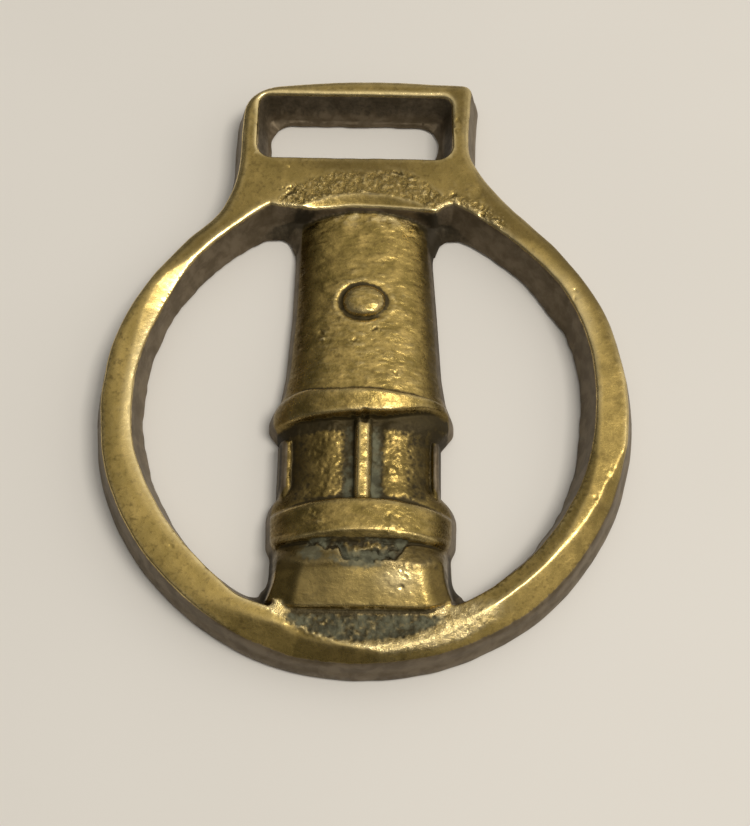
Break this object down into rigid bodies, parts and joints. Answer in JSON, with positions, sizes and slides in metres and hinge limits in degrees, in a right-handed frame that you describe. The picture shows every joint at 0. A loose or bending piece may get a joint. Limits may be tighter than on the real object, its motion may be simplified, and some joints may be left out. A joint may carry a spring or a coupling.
{
  "type": "horse brass",
  "caption": "Cast brass harness ornament: a ring with a miner's safety lamp in relief across it and a slotted strap hanger on top.",
  "frame": {"origin": "on the table it lies on, under the middle of its outline", "axes": "+X to the right across the face, +Y towards the strap hanger, +Z out of the polished front"},
  "size_m": [0.076, 0.0912, 0.0102],
  "materials": {
    "brass": "worn polished cast brass with brown patina in the recesses"
  },
  "bodies": {
    "root": {"horse_brass": "brass"}
  },
  "joints": []
}
